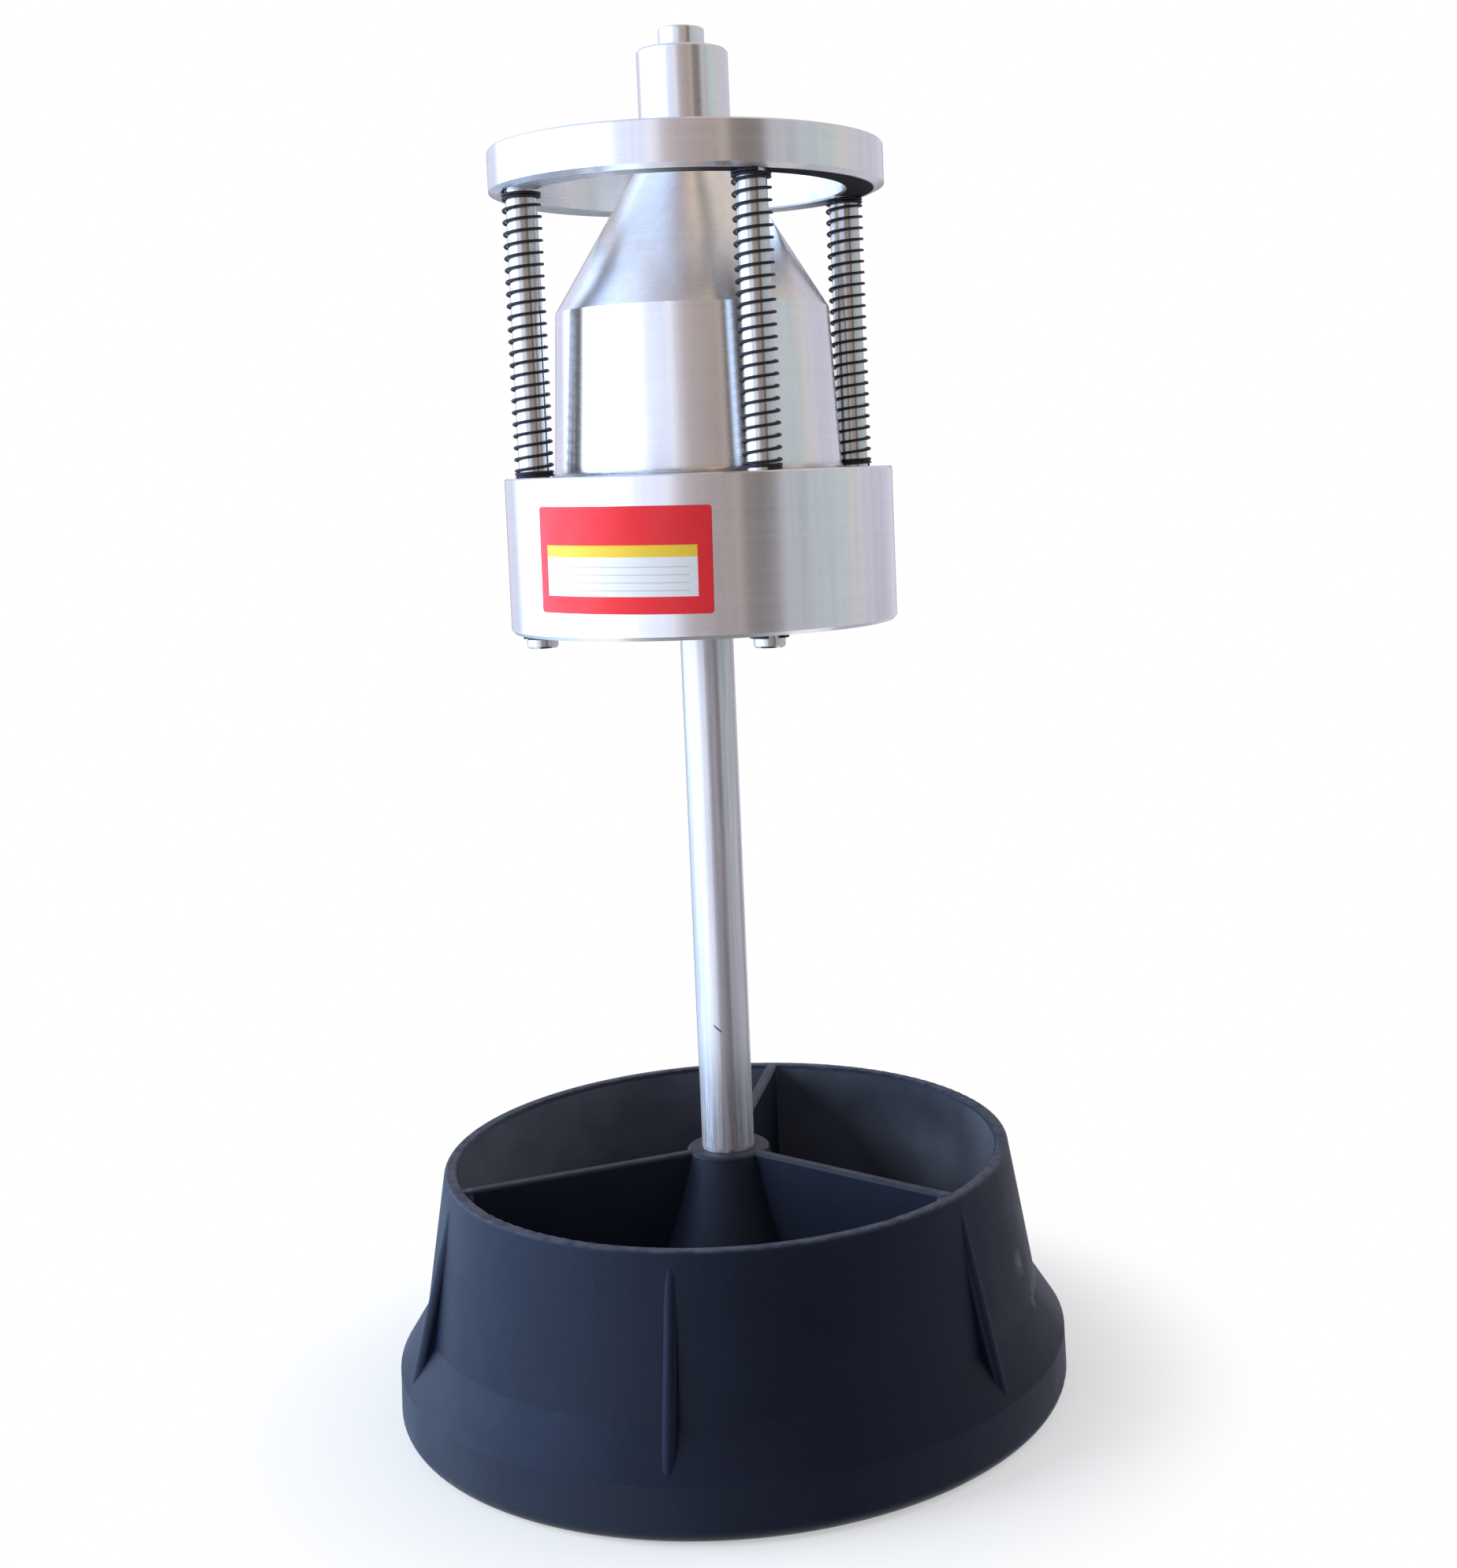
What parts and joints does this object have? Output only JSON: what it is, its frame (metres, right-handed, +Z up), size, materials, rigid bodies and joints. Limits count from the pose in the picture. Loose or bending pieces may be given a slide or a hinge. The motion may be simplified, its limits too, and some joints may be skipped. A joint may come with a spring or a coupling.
{
  "type": "bubble wheel balancer",
  "caption": "Bench wheel balancer: tray base, upright shaft and a pivoting coned head with a bull's-eye level, a sprung lift ring on guide rods and a turned drum.",
  "frame": {"origin": "centre of the base's underside, on the shaft's axis", "axes": "+Z up along the shaft, -Y towards the front, where the label is"},
  "size_m": [0.2432, 0.2432, 0.4893],
  "materials": {
    "black_moulding": "fine matte texture, moulded",
    "drawn_steel": "bright drawn tube with fine lengthwise lines",
    "ground_steel": "ground and polished rod",
    "zinc_steel": "bright zinc plate",
    "hardened_steel": "hardened and ground",
    "turned_aluminium": "satin, with fine turning lines",
    "black_steel": "black oxide spring steel",
    "white_plastic": "plain white disc with a ring mark",
    "clear_vial": "clear acrylic",
    "level_fluid": "yellow green spirit"
  },
  "bodies": {
    "stand": {"base": "black_moulding", "shaft": "drawn_steel", "shaft_foot_plug": "zinc_steel", "shaft_washer": "zinc_steel", "shaft_bolt": "zinc_steel", "pivot_post": "hardened_steel"},
    "ball": {"pivot_ball": "hardened_steel"},
    "cup": {"pivot_cup": "hardened_steel"},
    "head": {"head_casting": "turned_aluminium", "cup_circlip": "black_steel", "level_housing": "turned_aluminium", "level_backing": "white_plastic", "level_vial": "clear_vial", "level_fluid": "level_fluid", "spring_1": "black_steel", "spring_2": "black_steel", "spring_3": "black_steel", "spring_4": "black_steel"},
    "lift": {"lift_ring": "turned_aluminium", "guide_rod_1": "ground_steel", "guide_rod_2": "ground_steel", "guide_rod_3": "ground_steel", "guide_rod_4": "ground_steel", "ring_screws": "zinc_steel", "rod_circlips": "black_steel"}
  },
  "joints": [
    {"name": "head_tilt_x", "type": "hinge", "parent": "stand", "child": "ball", "pos_m": [0, 0, 0.452], "axis": [1, 0, 0], "range_deg": [-4, 4]},
    {"name": "head_tilt_y", "type": "hinge", "parent": "ball", "child": "cup", "pos_m": [0, 0, 0.452], "axis": [0, 1, 0], "range_deg": [-4, 4]},
    {"name": "head_spin", "type": "hinge", "parent": "cup", "child": "head", "pos_m": [0, 0, 0.452], "axis": [0, 0, 1], "continuous": true},
    {"name": "ring_slide", "type": "slide", "parent": "head", "child": "lift", "axis": [0, 0, -1], "range_m": [0, 0.06], "stiffness_N_per_m": 1500, "springref_m": -0.015, "deforming": ["spring_1", "spring_2", "spring_3", "spring_4"]}
  ]
}
